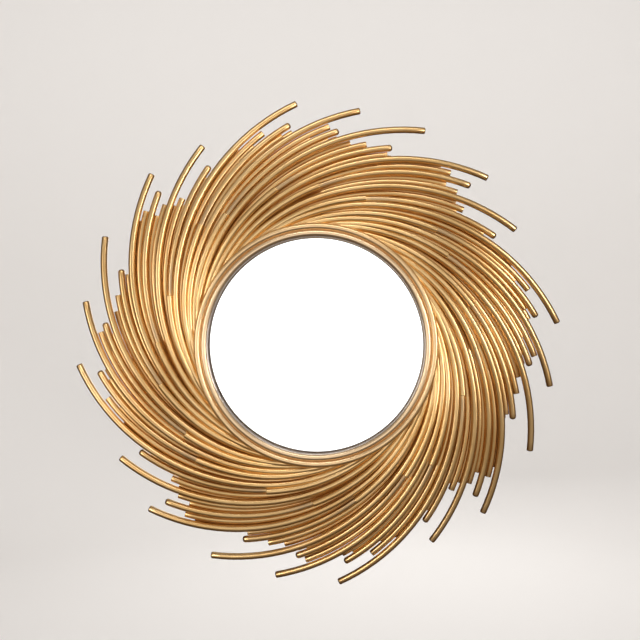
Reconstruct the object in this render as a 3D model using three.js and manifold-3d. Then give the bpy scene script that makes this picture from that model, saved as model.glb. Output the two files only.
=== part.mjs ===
// Round wall mirror in a dished swirl of gold rods.
// Millimetres, +Z up. The wall is the plane y = 0, the glass faces -Y, and the origin is the
// middle of the flat back. Angles run clockwise from the top, as seen from the front.

import * as THREE from 'three';
import { mergeVertices } from 'three/addons/utils/BufferGeometryUtils.js';
import Module from 'manifold-3d';

const wasm = await Module();
wasm.setup();

// Ring of two round beads about the glass
const ringInnerRadius = 131;
const beadRadius = 4.2;
const beadPitch = 8.2;            // from the middle of one bead to the middle of the next
const ringCrestHeight = 55;       // front of the beads, above the wall
const beadWrap = 150;             // degrees of a bead's round back, from its free side to the groove
const beadSteps = 3;

// Glass and the recess that it lies in
const glassThickness = 3;
const glassSetBack = 14;          // its face, below the crest of the ring
const glassClearance = 0.6;
const bondGap = 0.3;              // room for the adhesive behind the glass

// Dished shape that every rod follows
const outerDiameter = 600;        // across the tips of the longest rods
const rodBendRadius = 267;
const rootRadius = 153.5;         // of the circle that the rods leave at a tangent
const crownHeight = 46;           // of the long rods' middle line where they leave the ring
const tipHeight = 9.5;            // of the same line at the outer diameter

// Web under the rods, in two flat steps
const innerWebRadius = 176;
const outerWebRadius = 206;
const webBelowRods = 2.2;         // its face, below the middle line of the long rods
const webThickness = 4.5;         // of the outer step
const webBite = 5;                // how far a rod's hidden end reaches into a step of the web
const rootBite = 7;               // how far past the root circle the long rods' hidden ends lie

// Hub that stands on the wall
const hubRadius = 150;

// Backing board, sunk flush in the back of the hub
const boardRadius = 122;
const boardThickness = 12;
const boardClearance = 0.4;
const boardScrewCircle = 108;
const boardScrewCount = 4;
const boardScrewLength = 22;

// Keyhole hanger plate, sunk flush in the back of the board
const plateWidth = 62;
const plateHeight = 28;
const plateThickness = 2;
const plateClearance = 0.4;
const plateAboveMiddle = 78;      // middle of the plate, above the middle of the board
const plateScrewPitch = 46;
const plateScrewLength = 9;
const keyholeEntryRadius = 5.5;
const keyholeSlotWidth = 5.6;
const keyholeRise = 8;            // from the middle of the entry to the middle of the slot's end
const keyholeRoomWidth = 20;      // of the room behind the plate for the head of the wall screw
const keyholeRoomHeight = 24;

// Countersunk screws
const screwShankRadius = 2;
const screwHeadRadius = 3.8;
const screwHeadDepth = 1.7;
const screwClearance = 0.3;
const screwSunk = 0.1;            // head below the face that it holds

const roundSides = 40;
const screwSides = 8;
const arcSteps = 8;               // along each arc of a flat outline
const cutOver = 1;                // how far a cut runs past the face that it opens
const weldDistance = 1e-4;
const outerRadius = outerDiameter / 2;
const rodsPerTurn = 4;            // the swirl repeats every quarter turn

// Each layer of rods: how far it lies below the long rods, and for each rod of one quarter of
// the swirl where its arc leaves the root circle, in degrees, and how far its tip stops short
// of the outer radius. Its hidden end lies at startRadius.
const rodLayers = {
  long: {
    diameter: 8.3, below: 0, sides: 5, steps: 8, startRadius: rootRadius + rootBite,
    roots: [-122.4, -104.3, -89, -69.4, -49.6],
    tipSetBack: [0, 6, 3.5, 5, 17],
  },
  second: {
    diameter: 8.3, below: 3.6, sides: 5, steps: 4, startRadius: innerWebRadius + webBite,
    roots: [-112.1, -95.6, -77.6, -60.5, -38.5],
    tipSetBack: [27, 36, 41, 28, 44],
  },
  third: {
    diameter: 6.2, below: 6.5, sides: 4, steps: 3, startRadius: outerWebRadius - webBite,
    roots: [-117.8, -100.3, -82.1, -64.8, -44.2],
    tipSetBack: [31, 31, 47, 32, 56],
  },
  fourth: {
    diameter: 6.2, below: 8, sides: 4, steps: 3, startRadius: outerWebRadius - webBite,
    roots: [-108.6, -92.2, -73.5, -54.2, -35.6],
    tipSetBack: [40, 48, 51, 45, 55],
  },
  front: {
    diameter: 8, below: -3, sides: 5, steps: 2, startRadius: innerWebRadius,
    roots: [-111.7, -95.3, -77.4, -60.3, -38.8],
    tipSetBack: [98, 108, 105, 108, 113],
  },
};

const goldPaint = new THREE.MeshStandardMaterial({ color: 0xc89b55, roughness: 0.3, metalness: 1 });
const silvering = new THREE.MeshStandardMaterial({ color: 0xf4f6f7, roughness: 0.03, metalness: 1 });
const fibreboard = new THREE.MeshStandardMaterial({ color: 0x8a6a48, roughness: 0.85, metalness: 0 });
const zincSteel = new THREE.MeshStandardMaterial({ color: 0xb9bcc0, roughness: 0.35, metalness: 1 });

// A closed geometry as a solid for joining and cutting, without the slivers at a lathe's poles
function solid(geometry) {
  geometry.deleteAttribute('normal');
  geometry.deleteAttribute('uv');
  const merged = mergeVertices(geometry, weldDistance);
  const triVerts = [];
  for (let i = 0; i < merged.index.count; i += 3) {
    const [a, b, c] = [merged.index.getX(i), merged.index.getX(i + 1), merged.index.getX(i + 2)];
    if (a !== b && b !== c && c !== a) triVerts.push(a, b, c);
  }
  return new wasm.Manifold(new wasm.Mesh({
    numProp: 3,
    vertProperties: Float32Array.from(merged.getAttribute('position').array),
    triVerts: Uint32Array.from(triVerts),
  }));
}

function piece(name, body, material) {
  const { vertProperties, triVerts } = body.getMesh();
  const geometry = new THREE.BufferGeometry();
  geometry.setAttribute('position', new THREE.BufferAttribute(vertProperties, 3));
  geometry.setIndex(new THREE.BufferAttribute(triVerts, 1));
  geometry.computeVertexNormals();
  const mesh = new THREE.Mesh(geometry, material);
  mesh.name = name;
  return mesh;
}

// A round body about the mirror's axis, from [radius, height above the wall] pairs
function turned(profile, sides, place = [0, 0, 0]) {
  const points = profile.map(([radius, height]) => new THREE.Vector2(radius, height));
  return solid(new THREE.LatheGeometry(points, sides).rotateX(Math.PI).translate(...place));
}

// A flat outline in x and z, thickened from one height above the wall to another
function slab(outline, fromHeight, toHeight, raised = 0) {
  const geometry = new THREE.ExtrudeGeometry(outline, {
    depth: toHeight - fromHeight, bevelEnabled: false, curveSegments: arcSteps,
  });
  return solid(geometry.rotateX(Math.PI / 2).translate(0, -fromHeight, raised));
}

function rectangle(width, height) {
  return new THREE.Shape([
    new THREE.Vector2(-width / 2, -height / 2), new THREE.Vector2(width / 2, -height / 2),
    new THREE.Vector2(width / 2, height / 2), new THREE.Vector2(-width / 2, height / 2),
  ]);
}

// Height of the long rods' middle line above the wall: the swirl is dished towards its tips
function dishHeight(radius) {
  const reach = Math.max(0, (radius - rootRadius) / (outerRadius - rootRadius));
  return tipHeight + (crownHeight - tipHeight) * (1 - reach * reach);
}

// A rod is an arc that touches the root circle, drawn about a point off the mirror's axis.
// Its sweep is the angle turned about that point since the root.
const bendOffset = rodBendRadius - rootRadius;

function sweepAtRadius(radius) {
  const cosine = (rodBendRadius ** 2 + bendOffset ** 2 - radius ** 2) / (2 * rodBendRadius * bendOffset);
  return Math.acos(cosine);
}

function rodPoint(root, sweep, below) {
  const x = rodBendRadius * Math.sin(root + sweep) - bendOffset * Math.sin(root);
  const z = rodBendRadius * Math.cos(root + sweep) - bendOffset * Math.cos(root);
  return new THREE.Vector3(x, below - dishHeight(Math.hypot(x, z)), z);
}

// A straight bar of the rod's section, bent so that it follows the arc and the dish
function rod(layer, root, tipRadius) {
  const section = new THREE.Shape();
  for (let i = 0; i < layer.sides; i += 1) {
    const corner = Math.PI * (0.5 + 2 * i / layer.sides);
    const reach = layer.diameter / 2 / Math.sqrt(Math.cos(Math.PI / layer.sides));
    const [x, y] = [reach * Math.cos(corner), reach * Math.sin(corner)];
    if (i === 0) section.moveTo(x, y); else section.lineTo(x, y);
  }
  const bar = new THREE.ExtrudeGeometry(section, {
    depth: 1, steps: layer.steps, bevelEnabled: false,
  });
  const from = sweepAtRadius(layer.startRadius);
  const to = sweepAtRadius(tipRadius);
  const corners = bar.getAttribute('position');
  const wallNormal = new THREE.Vector3(0, -1, 0);
  const aLittle = 0.001;
  for (let i = 0; i < corners.count; i += 1) {
    const sweep = from + (to - from) * corners.getZ(i);
    const middle = rodPoint(root, sweep, layer.below);
    const along = rodPoint(root, sweep + aLittle, layer.below).sub(middle).normalize();
    const sideways = new THREE.Vector3().crossVectors(wallNormal, along).normalize();
    const outwards = new THREE.Vector3().crossVectors(along, sideways);
    middle.addScaledVector(sideways, corners.getX(i)).addScaledVector(outwards, corners.getY(i));
    corners.setXYZ(i, middle.x, middle.y, middle.z);
  }
  return solid(bar);
}

// Half a bead's round back, from its inner side over the crest to its outer side
function beadArc(middleRadius, fromAngle, toAngle, steps) {
  const middleHeight = ringCrestHeight - beadRadius;
  const arc = [];
  for (let i = 0; i <= steps; i += 1) {
    const angle = THREE.MathUtils.degToRad(fromAngle + (toAngle - fromAngle) * i / steps);
    arc.push([middleRadius + beadRadius * Math.cos(angle), middleHeight + beadRadius * Math.sin(angle)]);
  }
  return arc;
}

function hub() {
  const innerBead = ringInnerRadius + beadRadius;
  const outerBead = innerBead + beadPitch;
  const outerSide = outerBead + beadRadius;
  const floor = ringCrestHeight - glassSetBack - glassThickness - bondGap;
  const innerWebFace = dishHeight(innerWebRadius) - webBelowRods;
  const outerWebFace = dishHeight(outerWebRadius) - webBelowRods;
  const webBack = outerWebFace - webThickness;
  const profile = [
    [0, floor],
    [ringInnerRadius, floor],
    ...beadArc(innerBead, 180, 180 - beadWrap, beadSteps),
    ...beadArc(outerBead, beadWrap, 0, beadSteps),
    [outerSide, innerWebFace],
    [innerWebRadius, innerWebFace],
    [innerWebRadius, outerWebFace],
    [outerWebRadius, outerWebFace],
    [outerWebRadius, webBack],
    [hubRadius, webBack],
    [hubRadius, 0],
    [boardRadius + boardClearance, 0],
    [boardRadius + boardClearance, boardThickness + boardClearance],
    [0, boardThickness + boardClearance],
  ];
  return turned(profile.reverse(), roundSides);
}

// From the rim of a countersunk head to the point of the screw, which runs away from the wall
function screwSide(length, room) {
  const end = screwSunk + length + room;
  return [
    [screwHeadRadius + room, screwSunk],
    [screwShankRadius + room, screwSunk + screwHeadDepth],
    [screwShankRadius + room, end],
    [0, end],
  ];
}

function screw(length) {
  return turned([[0, screwSunk], ...screwSide(length, 0)], screwSides);
}

function screwHole(length, place) {
  const mouth = [[0, -cutOver], [screwHeadRadius + screwClearance, -cutOver]];
  return turned([...mouth, ...screwSide(length, screwClearance)], screwSides, place);
}

const boardScrewPlaces = Array.from({ length: boardScrewCount }, (_, i) => {
  const angle = 2 * Math.PI * (i + 0.5) / boardScrewCount;
  return [boardScrewCircle * Math.sin(angle), 0, boardScrewCircle * Math.cos(angle)];
});
const plateScrewPlaces = [-1, 1].map((side) => [side * plateScrewPitch / 2, 0, plateAboveMiddle]);

function cutHoles(body, places, length) {
  return places.reduce((left, place) => left.subtract(screwHole(length, place)), body);
}

function swirlFrame() {
  let frame = hub();
  for (const layer of Object.values(rodLayers)) {
    for (let quarter = 0; quarter < rodsPerTurn; quarter += 1) {
      layer.roots.forEach((root, i) => {
        const angle = THREE.MathUtils.degToRad(root) + 2 * Math.PI * quarter / rodsPerTurn;
        frame = frame.add(rod(layer, angle, outerRadius - layer.tipSetBack[i]));
      });
    }
  }
  return cutHoles(frame, boardScrewPlaces, boardScrewLength);
}

function mirrorGlass() {
  const radius = ringInnerRadius - glassClearance;
  const face = ringCrestHeight - glassSetBack;
  return turned([
    [0, face - glassThickness], [radius, face - glassThickness], [radius, face], [0, face],
  ], roundSides);
}

function plateOutline(grow) {
  const round = plateHeight / 2 + grow;
  const straight = plateWidth / 2 + grow - round;
  const outline = new THREE.Shape();
  outline.absarc(straight, 0, round, -Math.PI / 2, Math.PI / 2, false);
  outline.absarc(-straight, 0, round, Math.PI / 2, 3 * Math.PI / 2, false);
  return outline;
}

function keyhole() {
  const halfSlot = keyholeSlotWidth / 2;
  const leave = Math.asin(halfSlot / keyholeEntryRadius);
  const entryMiddle = -keyholeRise / 2;
  const outline = new THREE.Shape();
  outline.absarc(0, entryMiddle, keyholeEntryRadius, Math.PI / 2 + leave, Math.PI * 2.5 - leave, false);
  outline.absarc(0, entryMiddle + keyholeRise, halfSlot, 0, Math.PI, false);
  return outline;
}

function hangerPlate() {
  const plate = slab(plateOutline(0), 0, plateThickness)
    .subtract(slab(keyhole(), -cutOver, plateThickness + cutOver));
  const holes = plateScrewPlaces.map(([x, y]) => [x, y, 0]);
  return cutHoles(plate, holes, plateScrewLength);
}

function backingBoard() {
  const disc = turned([
    [0, 0], [boardRadius, 0], [boardRadius, boardThickness], [0, boardThickness],
  ], roundSides);
  const seatDepth = plateThickness + plateClearance;
  const seat = slab(plateOutline(plateClearance), -cutOver, seatDepth, plateAboveMiddle);
  const roomOutline = rectangle(keyholeRoomWidth, keyholeRoomHeight);
  const room = slab(roomOutline, -cutOver, boardThickness + cutOver, plateAboveMiddle);
  const screwed = cutHoles(disc.subtract(seat).subtract(room), plateScrewPlaces, plateScrewLength);
  return cutHoles(screwed, boardScrewPlaces, boardScrewLength);
}

const mirror = new THREE.Group();
mirror.add(piece('swirl_frame', swirlFrame(), goldPaint));
mirror.add(piece('mirror_glass', mirrorGlass(), silvering));
mirror.add(piece('backing_board', backingBoard(), fibreboard));
boardScrewPlaces.forEach((place, i) => {
  const screwMesh = piece(`board_screw_${i + 1}`, screw(boardScrewLength), zincSteel);
  screwMesh.position.set(...place);
  mirror.add(screwMesh);
});

const hanger = new THREE.Group();
hanger.position.z = plateAboveMiddle;
hanger.add(piece('hanger_plate', hangerPlate(), zincSteel));
plateScrewPlaces.forEach(([x], i) => {
  const screwMesh = piece(`hanger_screw_${i + 1}`, screw(plateScrewLength), zincSteel);
  screwMesh.position.x = x;
  hanger.add(screwMesh);
});
mirror.add(hanger);

export default mirror;
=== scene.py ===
import bmesh
import bpy
import math
from mathutils import Euler, Matrix, Vector


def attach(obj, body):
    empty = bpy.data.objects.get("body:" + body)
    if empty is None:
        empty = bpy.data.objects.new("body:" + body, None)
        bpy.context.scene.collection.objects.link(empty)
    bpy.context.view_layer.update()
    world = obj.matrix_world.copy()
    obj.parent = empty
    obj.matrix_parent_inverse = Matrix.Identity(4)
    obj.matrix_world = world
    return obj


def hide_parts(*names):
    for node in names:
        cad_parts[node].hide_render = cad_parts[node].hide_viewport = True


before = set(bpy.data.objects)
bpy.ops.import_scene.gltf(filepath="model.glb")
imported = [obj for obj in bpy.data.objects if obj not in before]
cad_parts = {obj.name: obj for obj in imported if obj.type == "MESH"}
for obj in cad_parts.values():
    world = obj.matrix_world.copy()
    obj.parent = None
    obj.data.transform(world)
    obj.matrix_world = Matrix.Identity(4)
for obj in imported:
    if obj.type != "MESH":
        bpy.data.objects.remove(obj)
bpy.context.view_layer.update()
mm = 0.001  # sizes of the mirror and the camera's place are in millimetres, the studio's in metres
tiny = 0.001  # points this close are one


# Small helpers

def newObject(bm, name):
    mesh = bpy.data.meshes.new(name)
    bm.to_mesh(mesh)
    bm.free()
    obj = bpy.data.objects.new(name, mesh)
    bpy.context.scene.collection.objects.link(obj)
    return obj


def finishPiece(bm, name, slot, *nodes):
    bmesh.ops.scale(bm, vec=(mm, mm, mm), verts=bm.verts)
    obj = newObject(bm, name)
    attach(obj, "root")
    if nodes:
        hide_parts(*nodes)
    print(name, "has", len(obj.data.polygons), "faces")
    return obj


def addTo(bm, part):
    mesh = bpy.data.meshes.new("part")
    part.to_mesh(mesh)
    part.free()
    bm.from_mesh(mesh)
    bpy.data.meshes.remove(mesh)


def spun(points, axis, steps):
    # a full turn of an open outline
    bm = bmesh.new()
    verts = [bm.verts.new(point) for point in points]
    for a, b in zip(verts, verts[1:]):
        bm.edges.new((a, b))
    bmesh.ops.spin(bm, geom=bm.verts[:] + bm.edges[:], cent=(0, 0, 0), axis=axis, angle=2 * math.pi,
                   steps=steps, use_merge=True)
    bmesh.ops.remove_doubles(bm, verts=bm.verts, dist=tiny)
    bmesh.ops.recalc_face_normals(bm, faces=bm.faces)
    return bm


def turned(profile, steps):
    # [radius, height above the wall] points that start and end on the mirror's axis
    return spun([(radius, -height, 0) for radius, height in profile], (0, 1, 0), steps)


# The glass, with its front this high above the wall

glassSize = {
    "radius": 130.4, "front": 41, "thickness": 3, "bondGap": 0.3,
    "edgeWidth": 0.9, "edgeDepth": 0.6, "steps": 180,
}


def glass():
    s = glassSize
    back = s["front"] - s["thickness"]
    bm = turned([[0, back], [s["radius"], back], [s["radius"], s["front"] - s["edgeDepth"]],
                 [s["radius"] - s["edgeWidth"], s["front"]], [0, s["front"]]], s["steps"])
    return finishPiece(bm, "glass", "mirror", "mirror_glass")


# The gold moulding

swirlSize = {
    "ringInnerRadius": 131, "ringCrestHeight": 55, "ringSteps": 180,
    "beadRadius": 4.2, "beadPitch": 8.2, "beadMeets": 14, "beadSteps": 12,  # beads meet at this angle
    "outerRadius": 300, "bendRadius": 267, "rootRadius": 152, "outerSteps": 22,
    "innerBendRadius": 213, "bendChangeRadius": 180, "innerSteps": 10,
    "startRadius": 143.4,  # under the outer bead
    "riseRadius": 172,  # where the front rods have risen to their own height
    "crownHeight": 46, "tipHeight": 9.5,
    "rodSides": 16, "tipSegments": 3,
    # streak of thin gold and painted shadow past the front rods' ends
    "endShadowReach": 19, "endShadowMost": 0.65,
    "webRadius": 228, "webBelowRods": 8.5, "webThickness": 4.5, "webSteps": 7,
    "hubRadius": 150, "hubRounding": 3, "hubSteps": 5,
    "boardRecessRadius": 122.4, "boardRecessDepth": 12.4, "boardRecessRounding": 0.8,
    "sharpAngle": 40,
}

# Roots are in degrees clockwise from the top, for one quarter. Each tip stops its set back short of
# the outer radius. A layer lies this far below the long rods, or starts there at its root, and its
# tips are rounded by this share of the rod's radius.
rodLayers = {
    "long": {
        "diameter": 8.2, "below": 0, "tipRounding": 0.45,
        "roots": [-122.4, -104.3, -89.0, -69.4, -49.6], "tipSetBack": [0, 6, 3.5, 5, 17],
    },
    "second": {
        "diameter": 8.3, "below": 3.6, "tipRounding": 0.8,
        "roots": [-112.1, -95.1, -77.4, -60.5, -38.2], "tipSetBack": [27, 36, 41.5, 28, 44],
    },
    "third": {
        "diameter": 8, "below": 6.5, "tipRounding": 0.15,
        "roots": [-117.8, -100.2, -81.9, -64.8, -43.9], "tipSetBack": [30.7, 30.7, 46.9, 32.1, 56.2],
    },
    "fourth": {
        "diameter": 7.7, "below": 8, "tipRounding": 0.15,
        "roots": [-108.4, -92.0, -73.2, -53.8, -35.5], "tipSetBack": [40.2, 48.2, 51.5, 45.6, 54.8],
    },
    "fifth": {
        "diameter": 7.9, "below": 10, "tipRounding": 0.15,
        "roots": [-120.1, -114.9, -107.2, -97.6, -90.8, -85.4, -70.8, -67.1, -56.9, -47.0, -41.0],
        "tipSetBack": [42, 44, 36.8, 47, 45.6, 49, 53.5, 33.5, 47, 56, 64],
    },
    "front": {
        "diameter": 8, "below": -3, "rootBelow": 2, "tipRounding": 0.2,
        "roots": [-111.4, -95.6, -77.2, -60.2, -38.7], "tipSetBack": [98.5, 107.8, 105.4, 107.8, 112.8],
    },
}


def dishHeight(radius):
    s = swirlSize
    reach = max(0, (radius - s["rootRadius"]) / (s["outerRadius"] - s["rootRadius"]))
    return s["tipHeight"] + (s["crownHeight"] - s["tipHeight"]) * (1 - reach * reach)


def sweepAtRadius(radius, bend, offset):
    return math.acos((bend ** 2 + offset ** 2 - radius ** 2) / (2 * bend * offset))


def radiusAtSweep(sweep, bend, offset):
    return math.sqrt(bend ** 2 + offset ** 2 - 2 * bend * offset * math.cos(sweep))


# Two bends make a rod, and they meet in line at the change radius
outerBend = swirlSize["bendRadius"]
outerOffset = outerBend - swirlSize["rootRadius"]
innerBend = swirlSize["innerBendRadius"]
changeRadius = swirlSize["bendChangeRadius"]
leanAtChange = (outerBend ** 2 + changeRadius ** 2 - outerOffset ** 2) / (2 * outerBend * changeRadius)
innerOffset = math.sqrt(innerBend ** 2 + changeRadius ** 2 - 2 * innerBend * changeRadius * leanAtChange)
outerChange = sweepAtRadius(changeRadius, outerBend, outerOffset)
innerChange = sweepAtRadius(changeRadius, innerBend, innerOffset)
innerTurn = innerChange - sweepAtRadius(swirlSize["startRadius"], innerBend, innerOffset)
innerMiddle = outerBend - innerBend


def middleLineRadius(co):
    # from the mirror's axis to the rod's middle line, beside this vertex
    if co.z > 0:
        return radiusAtSweep(innerChange - math.atan2(co.z, co.x - innerMiddle), innerBend, innerOffset)
    return radiusAtSweep(outerChange + math.atan2(-co.z, co.x), outerBend, outerOffset)


def rod(layer, rootAngle, tipRadius, endShadowFrom):
    # a round section spun about the middles of both bends, then bent back along the dish
    s = swirlSize
    bm = bmesh.new()
    endShadowAndThinGold = bm.verts.layers.float.new("endShadowAndThinGold")
    bmesh.ops.create_circle(bm, cap_ends=True, radius=layer["diameter"] / 2, segments=s["rodSides"])
    bmesh.ops.translate(bm, vec=(outerBend, 0, 0), verts=bm.verts)
    bmesh.ops.rotate(bm, cent=(innerMiddle, 0, 0), matrix=Matrix.Rotation(-innerTurn, 3, "Y"),
                     verts=bm.verts)
    end = bmesh.ops.spin(bm, geom=bm.faces[:], cent=(innerMiddle, 0, 0), axis=(0, 1, 0), angle=innerTurn,
                         steps=s["innerSteps"])["geom_last"]
    change = [item for item in end if isinstance(item, bmesh.types.BMFace)]
    outerTurn = sweepAtRadius(tipRadius, outerBend, outerOffset) - outerChange
    bmesh.ops.spin(bm, geom=change, cent=(0, 0, 0), axis=(0, 1, 0), angle=outerTurn, steps=s["outerSteps"])
    bmesh.ops.delete(bm, geom=change, context="FACES_ONLY")  # the spin leaves this one inside
    bmesh.ops.recalc_face_normals(bm, faces=bm.faces)
    tip = max((f for f in bm.faces if len(f.verts) == s["rodSides"]),
              key=lambda f: -f.calc_center_median().z)
    bmesh.ops.bevel(bm, geom=tip.edges[:], offset=layer["tipRounding"] * layer["diameter"] / 2,
                    affect="EDGES", segments=s["tipSegments"], profile=0.5, material=-1)
    for v in bm.verts:
        radius = middleLineRadius(v.co)
        top = 0.5 - v.co.y / layer["diameter"]
        rise = min(1, (radius - s["startRadius"]) / (s["riseRadius"] - s["startRadius"]))
        below = layer.get("rootBelow", layer["below"])
        below += (layer["below"] - below) * rise * rise * (3 - 2 * rise)
        v.co.y += below - dishHeight(radius)
        if endShadowFrom and radius > endShadowFrom:  # thin gold and painted shadow of the front rod's end, a streak along the top that narrows outwards
            v[endShadowAndThinGold] = max(0, min(s["endShadowMost"], top - (radius - endShadowFrom) / s["endShadowReach"]))
    bmesh.ops.rotate(bm, cent=(0, 0, 0), matrix=Matrix.Rotation(outerChange, 3, "Y"), verts=bm.verts)
    bmesh.ops.translate(bm, vec=(-outerOffset, 0, 0), verts=bm.verts)
    bmesh.ops.rotate(bm, cent=(0, 0, 0), matrix=Matrix.Rotation(rootAngle - math.pi / 2, 3, "Y"),
                     verts=bm.verts)
    return bm


def bead(middleRadius, fromAngle, toAngle):
    s = swirlSize
    points = []
    for i in range(s["beadSteps"] + 1):
        angle = math.radians(fromAngle + (toAngle - fromAngle) * i / s["beadSteps"])
        points.append([middleRadius + s["beadRadius"] * math.cos(angle),
                       s["ringCrestHeight"] - s["beadRadius"] + s["beadRadius"] * math.sin(angle)])
    return points


def ringAndWeb():
    s = swirlSize
    floor = glassSize["front"] - glassSize["thickness"] - glassSize["bondGap"]
    innerBead = s["ringInnerRadius"] + s["beadRadius"]
    outerBead = innerBead + s["beadPitch"]
    webInner = outerBead + s["beadRadius"]
    radii = [webInner + (s["webRadius"] - webInner) * i / s["webSteps"] for i in range(s["webSteps"] + 1)]
    face = [[r, dishHeight(r) - s["webBelowRods"]] for r in radii]
    back = [[r, h - s["webThickness"]] for r, h in reversed(face) if r > s["hubRadius"]]
    profile = [[0, floor], [s["ringInnerRadius"], floor]]
    profile += bead(innerBead, 180, s["beadMeets"]) + bead(outerBead, 180 - s["beadMeets"], 0)
    profile += face + back + [[s["hubRadius"], back[-1][1]]]
    for i in range(s["hubSteps"] + 1):  # round back edge of the hub
        angle = math.pi / 2 * i / s["hubSteps"]
        profile.append([s["hubRadius"] - s["hubRounding"] * (1 - math.cos(angle)),
                        s["hubRounding"] * (1 - math.sin(angle))])
    profile += [[s["boardRecessRadius"] + s["boardRecessRounding"], 0],
                [s["boardRecessRadius"], s["boardRecessRounding"]],
                [s["boardRecessRadius"], s["boardRecessDepth"]], [0, s["boardRecessDepth"]]]
    return turned(profile, s["ringSteps"])


def swirl():
    outer = swirlSize["outerRadius"]
    quarter = bmesh.new()
    for name, layer in rodLayers.items():
        for i, root in enumerate(layer["roots"]):
            endShadowFrom = None
            if name == "second":  # thin gold and painted shadow just past the end of the front rod that lies on it
                endShadowFrom = outer - rodLayers["front"]["tipSetBack"][i]
            addTo(quarter, rod(layer, math.radians(root), outer - layer["tipSetBack"][i], endShadowFrom))
    # the other three quarters
    bmesh.ops.spin(quarter, geom=quarter.verts[:] + quarter.edges[:] + quarter.faces[:], cent=(0, 0, 0),
                   axis=(0, 1, 0), angle=1.5 * math.pi, steps=3, use_duplicate=True)
    whole = ringAndWeb()
    whole.verts.layers.float.new("endShadowAndThinGold")
    addTo(whole, quarter)
    for f in whole.faces:
        f.smooth = True
    obj = finishPiece(whole, "swirl", "gold_frame", "swirl_frame")
    obj.data.set_sharp_from_angle(angle=math.radians(swirlSize["sharpAngle"]))
    return obj


# Countersunk screws at the back

screwSize = {
    "headRadius": 3.8, "headDepth": 1.7, "shankRadius": 2, "sunk": 0.1, "point": 3, "rim": 0.25,
    "crossReach": 2.1, "crossWidth": 0.9, "crossDepth": 1.3, "crossTaper": 0.7, "steps": 24,
    "boardCircle": 108, "boardLength": 22,
    "platePitch": 46, "plateAboveMiddle": 78, "plateLength": 9,
}


def headFaces(bm):
    return [f for f in bm.faces if all(abs(v.co.y + screwSize["sunk"]) < tiny for v in f.verts)]


def cutCross(bm):
    # slices the flat head, then sinks the cells that make the cross
    s = screwSize
    for side in (Vector((1, 0, 0)), Vector((0, 0, 1))):
        for offset in (-s["crossReach"], -s["crossWidth"] / 2, s["crossWidth"] / 2, s["crossReach"]):
            head = headFaces(bm)
            edges = dict.fromkeys(e for f in head for e in f.edges)
            corners = dict.fromkeys(v for f in head for v in f.verts)
            bmesh.ops.bisect_plane(bm, geom=head + list(edges) + list(corners),
                                   plane_co=side * offset, plane_no=side)
    cross = []
    for f in headFaces(bm):
        near, far = sorted(abs(value) for value in f.calc_center_median().xz)
        if near < s["crossWidth"] / 2 and far < s["crossReach"]:
            cross.append(f)
    sunk = bmesh.ops.extrude_face_region(bm, geom=cross)["geom"]
    bmesh.ops.delete(bm, geom=cross, context="FACES")  # the extrusion leaves these above it
    bottom = [item for item in sunk if isinstance(item, bmesh.types.BMVert)]
    bmesh.ops.translate(bm, vec=(0, -s["crossDepth"], 0), verts=bottom)
    bmesh.ops.scale(bm, vec=(s["crossTaper"], 1, s["crossTaper"]), verts=bottom)
    bmesh.ops.recalc_face_normals(bm, faces=bm.faces)


def screw(node, place, length):
    s = screwSize
    end = s["sunk"] + length
    bm = turned([[0, s["sunk"]], [s["headRadius"] - s["rim"], s["sunk"]],
                 [s["headRadius"], s["sunk"] + s["rim"]],
                 [s["shankRadius"], s["sunk"] + s["headDepth"]], [s["shankRadius"], end - s["point"]],
                 [0, end]], s["steps"])
    cutCross(bm)
    bmesh.ops.translate(bm, vec=place, verts=bm.verts)
    return finishPiece(bm, node.replace("_screw_", "Screw"), "zinc_steel", node)


def screws():
    s = screwSize
    made = []
    for i in range(4):
        angle = math.radians(45 + 90 * i)
        place = (s["boardCircle"] * math.sin(angle), 0, s["boardCircle"] * math.cos(angle))
        made.append(screw("board_screw_" + str(i + 1), place, s["boardLength"]))
    for i in range(2):
        place = (s["platePitch"] * (i - 0.5), 0, s["plateAboveMiddle"])
        made.append(screw("hanger_screw_" + str(i + 1), place, s["plateLength"]))
    return made


# Finishes. A noise is given by its scale, detail and stretch, and a ramp by its stops.

def newMaterial(name):
    material = bpy.data.materials.new(name)
    material.use_nodes = True
    tree = material.node_tree
    tree.nodes.clear()
    output = tree.nodes.new("ShaderNodeOutputMaterial")
    shader = tree.nodes.new("ShaderNodeBsdfPrincipled")
    tree.links.new(shader.outputs["BSDF"], output.inputs["Surface"])
    return material, tree, shader


def noise(tree, scale, detail, stretch=(1, 1, 1)):
    coords = tree.nodes.new("ShaderNodeTexCoord")
    mapping = tree.nodes.new("ShaderNodeMapping")
    mapping.inputs["Scale"].default_value = stretch
    texture = tree.nodes.new("ShaderNodeTexNoise")
    texture.inputs["Scale"].default_value = scale
    texture.inputs["Detail"].default_value = detail
    tree.links.new(coords.outputs["Object"], mapping.inputs["Vector"])
    tree.links.new(mapping.outputs["Vector"], texture.inputs["Vector"])
    return texture.outputs["Fac"]


def ramp(tree, value, stops):
    node = tree.nodes.new("ShaderNodeValToRGB")
    while len(node.color_ramp.elements) < len(stops):
        node.color_ramp.elements.new(0.5)
    for element, (place, colour) in zip(node.color_ramp.elements, stops):
        element.position = place
        element.color = (*colour, 1)
    tree.links.new(value, node.inputs["Fac"])
    return node.outputs["Color"]


def mixed(tree, share, first, second):
    # from a linked colour or number towards a plain one
    node = tree.nodes.new("ShaderNodeMix")
    node.data_type = "RGBA" if isinstance(second, tuple) else "FLOAT"
    kind = "RGBA" if isinstance(second, tuple) else "VALUE"
    sockets = [socket for socket in node.inputs if socket.type == kind and socket.name in "AB"]
    tree.links.new(share, node.inputs[0])
    tree.links.new(first, sockets[0])
    sockets[1].default_value = (*second, 1) if isinstance(second, tuple) else second
    return next(socket for socket in node.outputs if socket.type == kind)


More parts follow.
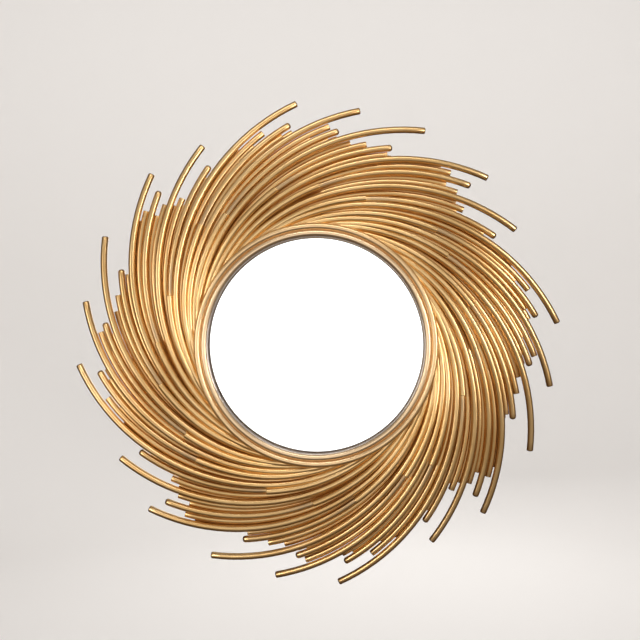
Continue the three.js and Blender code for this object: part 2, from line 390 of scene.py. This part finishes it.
def between(tree, value, low, high, fromLow=0, fromHigh=1):
    node = tree.nodes.new("ShaderNodeMapRange")
    node.inputs["From Min"].default_value = fromLow
    node.inputs["From Max"].default_value = fromHigh
    node.inputs["To Min"].default_value = low
    node.inputs["To Max"].default_value = high
    tree.links.new(value, node.inputs["Value"])
    return node.outputs["Result"]


def distanceFromAxis(tree):
    coords = tree.nodes.new("ShaderNodeTexCoord")
    flat = tree.nodes.new("ShaderNodeMapping")
    flat.inputs["Scale"].default_value = (1, 0, 1)
    length = tree.nodes.new("ShaderNodeVectorMath")
    length.operation = "LENGTH"
    tree.links.new(coords.outputs["Object"], flat.inputs["Vector"])
    tree.links.new(flat.outputs["Vector"], length.inputs[0])
    return length.outputs["Value"]


def bump(tree, shader, height, distance):
    node = tree.nodes.new("ShaderNodeBump")
    node.inputs["Distance"].default_value = distance
    node.inputs["Strength"].default_value = 1
    tree.links.new(height, node.inputs["Height"])
    tree.links.new(node.outputs["Normal"], shader.inputs["Normal"])


def dress(obj, material):
    obj.data.materials.clear()
    obj.data.materials.append(material)


def dressNode(name, material):
    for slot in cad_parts[name].material_slots:
        slot.material = material


goldLook = {
    "colours": ((0.35, (0.74, 0.45, 0.17)), (0.65, (0.82, 0.54, 0.24))), "patches": (14, 4),
    "ringPale": (0.80, 0.59, 0.37), "ringOuterRadius": 149, "ringFade": 12, "ringShare": 0.8,
    "endShadowColour": (0.42, 0.29, 0.17), "endPatchRoughness": 0.34,  # thin gold, darkened as painted shadow of the front rods' ends
    "lacquer": 0.4, "lacquerIor": 1.6, "lacquerRoughness": 0.12,
    "roughLow": 0.28, "roughHigh": 0.31, "satin": (30, 1),  # glossier than 0.28 gives bright specks
    "ripple": (16, 0), "rippleHeight": 0.0001,
}


def goldPaint():
    look = goldLook
    material, tree, shader = newMaterial("satin gold")
    gold = ramp(tree, noise(tree, *look["patches"]), look["colours"])
    nearRing = between(tree, distanceFromAxis(tree), look["ringShare"], 0,
                       fromLow=(look["ringOuterRadius"] - look["ringFade"]) * mm,
                       fromHigh=look["ringOuterRadius"] * mm)
    gold = mixed(tree, nearRing, gold, look["ringPale"])
    # thin gold and painted shadow of the front rods' ends, darker and rougher than the gold around it
    endShadowAttribute = tree.nodes.new("ShaderNodeAttribute")
    endShadowAttribute.attribute_name = "endShadowAndThinGold"
    tree.links.new(mixed(tree, endShadowAttribute.outputs["Fac"], gold, look["endShadowColour"]), shader.inputs["Base Color"])
    satin = between(tree, noise(tree, *look["satin"]), look["roughLow"], look["roughHigh"])
    tree.links.new(mixed(tree, endShadowAttribute.outputs["Fac"], satin, look["endPatchRoughness"]),
                   shader.inputs["Roughness"])
    shader.inputs["Metallic"].default_value = 1
    shader.inputs["Coat Weight"].default_value = look["lacquer"]
    shader.inputs["Coat IOR"].default_value = look["lacquerIor"]
    shader.inputs["Coat Roughness"].default_value = look["lacquerRoughness"]
    bump(tree, shader, noise(tree, *look["ripple"]), look["rippleHeight"])
    return material


recessLook = {
    "colour": (0.76, 0.63, 0.54), "shade": 0.8, "shadeTo": 0.35, "paleFrom": 0.65, "mottle": (40, 3),
    "roughness": 0.38, "reach": 0.6, "margin": 0.1,  # reach out over the side of the inner bead
}


def recessWall():
    look = recessLook
    material, tree, shader = newMaterial("pale recess wall")
    darker = tuple(look["shade"] * c for c in look["colour"])
    colours = ((look["shadeTo"], darker), (look["paleFrom"], look["colour"]))
    tree.links.new(ramp(tree, noise(tree, *look["mottle"]), colours), shader.inputs["Base Color"])
    shader.inputs["Roughness"].default_value = look["roughness"]
    shader.inputs["Metallic"].default_value = 1
    return material


def paintRecess(obj, material):
    # the wall that the glass sits in, and the side of the inner bead above it
    obj.data.materials.append(material)
    inner = swirlSize["ringInnerRadius"] - recessLook["margin"]
    outer = swirlSize["ringInnerRadius"] + recessLook["reach"]
    for f in obj.data.polygons:
        if inner < math.hypot(f.center.x, f.center.z) / mm < outer:
            f.material_index = 1


mirrorLook = {"silver": (0.93, 0.95, 0.95), "roughLow": 0, "roughHigh": 0.02, "haze": (30, 3)}


def silveredGlass():
    look = mirrorLook
    material, tree, shader = newMaterial("silvered glass")
    shader.inputs["Base Color"].default_value = (*look["silver"], 1)
    shader.inputs["Metallic"].default_value = 1
    tree.links.new(between(tree, noise(tree, *look["haze"]), look["roughLow"], look["roughHigh"]),
                   shader.inputs["Roughness"])
    return material


edgeLook = {
    "colours": ((0.3, (0.03, 0.025, 0.03)), (0.7, (0.07, 0.06, 0.065))), "mottle": (50, 3),
    "roughness": 0.3,
}


def darkEdge():
    look = edgeLook
    material, tree, shader = newMaterial("dark glass edge")
    tree.links.new(ramp(tree, noise(tree, *look["mottle"]), look["colours"]), shader.inputs["Base Color"])
    shader.inputs["Roughness"].default_value = look["roughness"]
    return material


def paintEdge(obj, material):
    # the bevel and the rim, outside the silvering, made near-black
    obj.data.materials.append(material)
    silvered = (glassSize["radius"] - glassSize["edgeWidth"]) * mm
    for f in obj.data.polygons:
        if math.hypot(f.center.x, f.center.z) > silvered:
            f.material_index = 1


boardLook = {
    "colours": ((0.3, (0.30, 0.20, 0.12)), (0.5, (0.36, 0.25, 0.15)), (0.75, (0.42, 0.30, 0.18))),
    "fibres": (900, 4, (1, 1, 0.4)), "fibreHeight": 0.00004, "roughness": 0.82,
}


def fibreboard():
    look = boardLook
    material, tree, shader = newMaterial("raw fibreboard")
    fibres = noise(tree, *look["fibres"])
    tree.links.new(ramp(tree, fibres, look["colours"]), shader.inputs["Base Color"])
    shader.inputs["Roughness"].default_value = look["roughness"]
    bump(tree, shader, fibres, look["fibreHeight"])
    return material


zincLook = {
    "colours": ((0.3, (0.50, 0.52, 0.55)), (0.7, (0.68, 0.69, 0.70))), "spangle": (160, 3),
    "roughLow": 0.28, "roughHigh": 0.45, "rollMarks": (300, 2, (1, 1, 12)),
}


def zincSteel():
    look = zincLook
    material, tree, shader = newMaterial("zinc plated steel")
    tree.links.new(ramp(tree, noise(tree, *look["spangle"]), look["colours"]), shader.inputs["Base Color"])
    tree.links.new(between(tree, noise(tree, *look["rollMarks"]), look["roughLow"], look["roughHigh"]),
                   shader.inputs["Roughness"])
    shader.inputs["Metallic"].default_value = 1
    return material


# Room for the picture, in metres: a pale round sweep, soft lights and the camera

stageSize = {
    "floorLevel": -1.0, "radius": 4.0, "sweep": 1.2, "sweepSteps": 12, "wallTop": 3.2, "steps": 64,
    "paper": (0.8, 0.78, 0.76), "paperRoughness": 0.9,
}


def studio():
    s = stageSize
    points = [(0, 0, s["floorLevel"])]
    for i in range(s["sweepSteps"] + 1):
        angle = math.pi / 2 * i / s["sweepSteps"]
        points.append((s["radius"] - s["sweep"] + s["sweep"] * math.sin(angle), 0,
                       s["floorLevel"] + s["sweep"] * (1 - math.cos(angle))))
    points.append((s["radius"], 0, s["wallTop"]))
    bm = spun(points, (0, 0, 1), s["steps"])
    for f in bm.faces:
        f.smooth = True
    sweep = newObject(bm, "paleSweep")
    sweep.visible_glossy = False
    material, _, shader = newMaterial("pale paper")
    shader.inputs["Base Color"].default_value = (*s["paper"], 1)
    shader.inputs["Roughness"].default_value = s["paperRoughness"]
    dress(sweep, material)


softLights = {
    "whitePanel": {"place": (-0.14, -3.0, -0.14), "size": (1.3, 1.3), "power": 7},
    "leftBox": {"place": (-2.0, -2.2, 0.2), "size": (0.45, 1.5), "power": 17},
    "rightBox": {"place": (2.2, -2.2, 0.2), "size": (0.45, 1.5), "power": 32},
    "topBox": {"place": (0.2, -1.9, 2.2), "size": (2.2, 0.4), "power": 20},
    "rearBox": {"place": (0.4, 3.0, 0.7), "size": (1.6, 1.6), "power": 22},
    "backdropBox": {"place": (0, 1.2, 2.2), "size": (3.0, 1.0), "power": 40, "aim": (0, 4, 0.2)},
}

# Air that is warm and dim behind the mirror and below it, and pale in front of it
airLook = {
    "strength": 0.88, "palest": (0.1, -0.88, 0.46),
    "colours": ((0.0, (0.05, 0.03, 0.02)), (0.45, (0.08, 0.05, 0.03)), (0.6, (0.20, 0.17, 0.15)),
                (0.8, (0.40, 0.38, 0.36)), (1.0, (0.55, 0.54, 0.53))),
}


def softLight(name, place, size, power, aim=(0, 0, 0)):
    light = bpy.data.lights.new(name, "AREA")
    light.shape = "RECTANGLE"
    light.size, light.size_y = size
    light.energy = power
    obj = bpy.data.objects.new(name, light)
    obj.location = place
    obj.rotation_euler = (Vector(aim) - Vector(place)).to_track_quat("-Z", "Y").to_euler()
    bpy.context.scene.collection.objects.link(obj)
    obj.visible_camera = False


def lighting():
    for name, box in softLights.items():
        softLight(name, **box)
    world = bpy.data.worlds.new("studioAir")
    bpy.context.scene.world = world
    world.use_nodes = True
    tree = world.node_tree
    background = tree.nodes["Background"]
    background.inputs["Strength"].default_value = airLook["strength"]
    coords = tree.nodes.new("ShaderNodeTexCoord")
    facing = tree.nodes.new("ShaderNodeVectorMath")
    facing.operation = "DOT_PRODUCT"
    facing.inputs[1].default_value = airLook["palest"]
    tree.links.new(coords.outputs["Generated"], facing.inputs[0])
    paleness = between(tree, facing.outputs["Value"], 0, 1, fromLow=-1)
    tree.links.new(ramp(tree, paleness, airLook["colours"]), background.inputs["Color"])


cameraView = {
    "place": (58.1, -1107.8, 58.2), "lens": 49.5, "sensor": 36,
    "left": 0.31, "up": -0.95, "roll": -0.12, "shift": (-0.0617, -0.013),
}


def camera():
    v = cameraView
    data = bpy.data.cameras.new("photoCamera")
    data.sensor_width = v["sensor"]
    data.lens = v["lens"]
    data.shift_x, data.shift_y = v["shift"]
    cam = bpy.data.objects.new("photoCamera", data)
    turn = Euler((math.radians(90 + v["up"]), 0, math.radians(v["left"]))).to_matrix().to_4x4()
    cam.matrix_world = (Matrix.Translation(Vector(v["place"]) * mm) @ turn
                        @ Matrix.Rotation(math.radians(v["roll"]), 4, "Z"))
    bpy.context.scene.collection.objects.link(cam)
    bpy.context.scene.camera = cam


camera()
print("camera set")
moulding = swirl()
dress(moulding, goldPaint())
paintRecess(moulding, recessWall())
print("moulding done")
pane = glass()
dress(pane, silveredGlass())
paintEdge(pane, darkEdge())
print("glass done")
dressNode("backing_board", fibreboard())
zinc = zincSteel()
dressNode("hanger_plate", zinc)
for fixing in screws():
    dress(fixing, zinc)
print("back done")
studio()
lighting()
bpy.context.scene.view_settings.view_transform = "Standard"
print("studio done")
